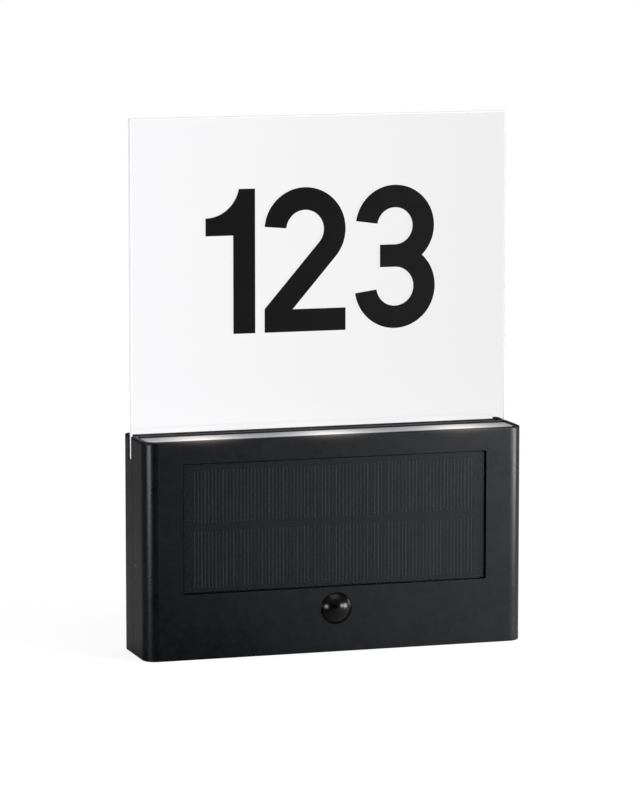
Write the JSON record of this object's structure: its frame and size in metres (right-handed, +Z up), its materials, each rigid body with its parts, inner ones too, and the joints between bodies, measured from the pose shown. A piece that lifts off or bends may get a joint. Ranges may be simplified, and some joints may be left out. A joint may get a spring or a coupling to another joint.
{
  "type": "illuminated house number sign",
  "caption": "Solar wall light with an upright clear number plate edge-lit from a glowing strip, panel and motion sensor on its front.",
  "frame": {"origin": "the point of the wall plane midway between the two screws that the sign hangs on, 80.5 mm above the housing's underside", "axes": "+Z up, -Y out of the wall towards whoever reads the sign, +Y into the wall, +X to the reader's right"},
  "size_m": [0.201, 0.0446, 0.2715],
  "materials": {
    "housing_black": "fine-grained black",
    "clear_acrylic": "clear polished sheet",
    "black_vinyl": "matt film",
    "opal_plastic": "satin opal, lit from below",
    "board_white": "white solder mask",
    "led_phosphor": "lit phosphor",
    "panel_clear": "clear resin",
    "silicon_dark": "dark silicon with fine silver lines",
    "board_dark": "black laminate",
    "foam_tape": "foam tape",
    "lens_black": "glossy black",
    "sensor_metal": "plated can",
    "sensor_window": "dark filter",
    "board_green": "green solder mask",
    "connector_white": "moulded shell",
    "chip_black": "moulded package",
    "coil_grey": "ferrite block",
    "capacitor_can": "bare can",
    "button_rubber": "soft black",
    "seal_rubber": "soft black",
    "switch_black": "moulded body",
    "plunger_white": "moulded plunger",
    "battery_can": "metal can",
    "contact_nickel": "nickel-plated spring strip",
    "screw_steel": "stainless",
    "lead_red": "insulated wire",
    "lead_black": "insulated wire"
  },
  "bodies": {
    "housing": {"front_housing": "housing_black", "back_cover": "housing_black", "housing_gasket": "seal_rubber", "housing_screws": "screw_steel", "plate_grip_pads": "seal_rubber", "light_diffuser": "opal_plastic", "led_board": "board_white", "leds": "led_phosphor", "led_board_screws": "screw_steel", "solar_cover": "panel_clear", "solar_cells": "silicon_dark", "solar_board": "board_dark", "solar_adhesive": "foam_tape", "motion_lens": "lens_black", "lens_retainer": "switch_black", "motion_sensor": "sensor_metal", "sensor_window": "sensor_window", "main_board": "board_green", "main_board_screws": "screw_steel", "lead_connectors": "connector_white", "control_chip": "chip_black", "power_coil": "coil_grey", "storage_capacitor": "capacitor_can", "button_seal": "seal_rubber", "switch_body": "switch_black", "battery_cell": "battery_can", "positive_contact": "contact_nickel", "negative_contact": "contact_nickel", "battery_door_seal": "seal_rubber", "solar_lead_red": "lead_red", "solar_lead_black": "lead_black", "light_lead_red": "lead_red", "light_lead_black": "lead_black", "battery_lead_red": "lead_red", "battery_lead_black": "lead_black"},
    "plate": {"number_plate": "clear_acrylic", "digit_one": "black_vinyl", "digit_two": "black_vinyl", "digit_three": "black_vinyl"},
    "button": {"mode_button": "button_rubber"},
    "plunger": {"switch_plunger": "plunger_white"},
    "door": {"battery_door": "housing_black", "battery_door_screws": "screw_steel"}
  },
  "joints": [
    {"name": "plate_lift", "type": "slide", "parent": "housing", "child": "plate", "axis": [0, 0, 1], "range_m": [0, 0.02]},
    {"name": "button_press", "type": "slide", "parent": "housing", "child": "button", "axis": [0, 0, 1], "range_m": [0, 0.0008], "stiffness_N_per_m": 1200, "springref_m": -0.0004},
    {"name": "plunger_press", "type": "slide", "parent": "housing", "child": "plunger", "axis": [0, 0, 1], "range_m": [0, 0.0008]},
    {"name": "door_lift", "type": "slide", "parent": "housing", "child": "door", "axis": [0, 1, 0], "range_m": [0, 0.03]}
  ],
  "couplings": [
    {"joint": "plunger_press", "follows": "button_press", "ratio": 1}
  ]
}
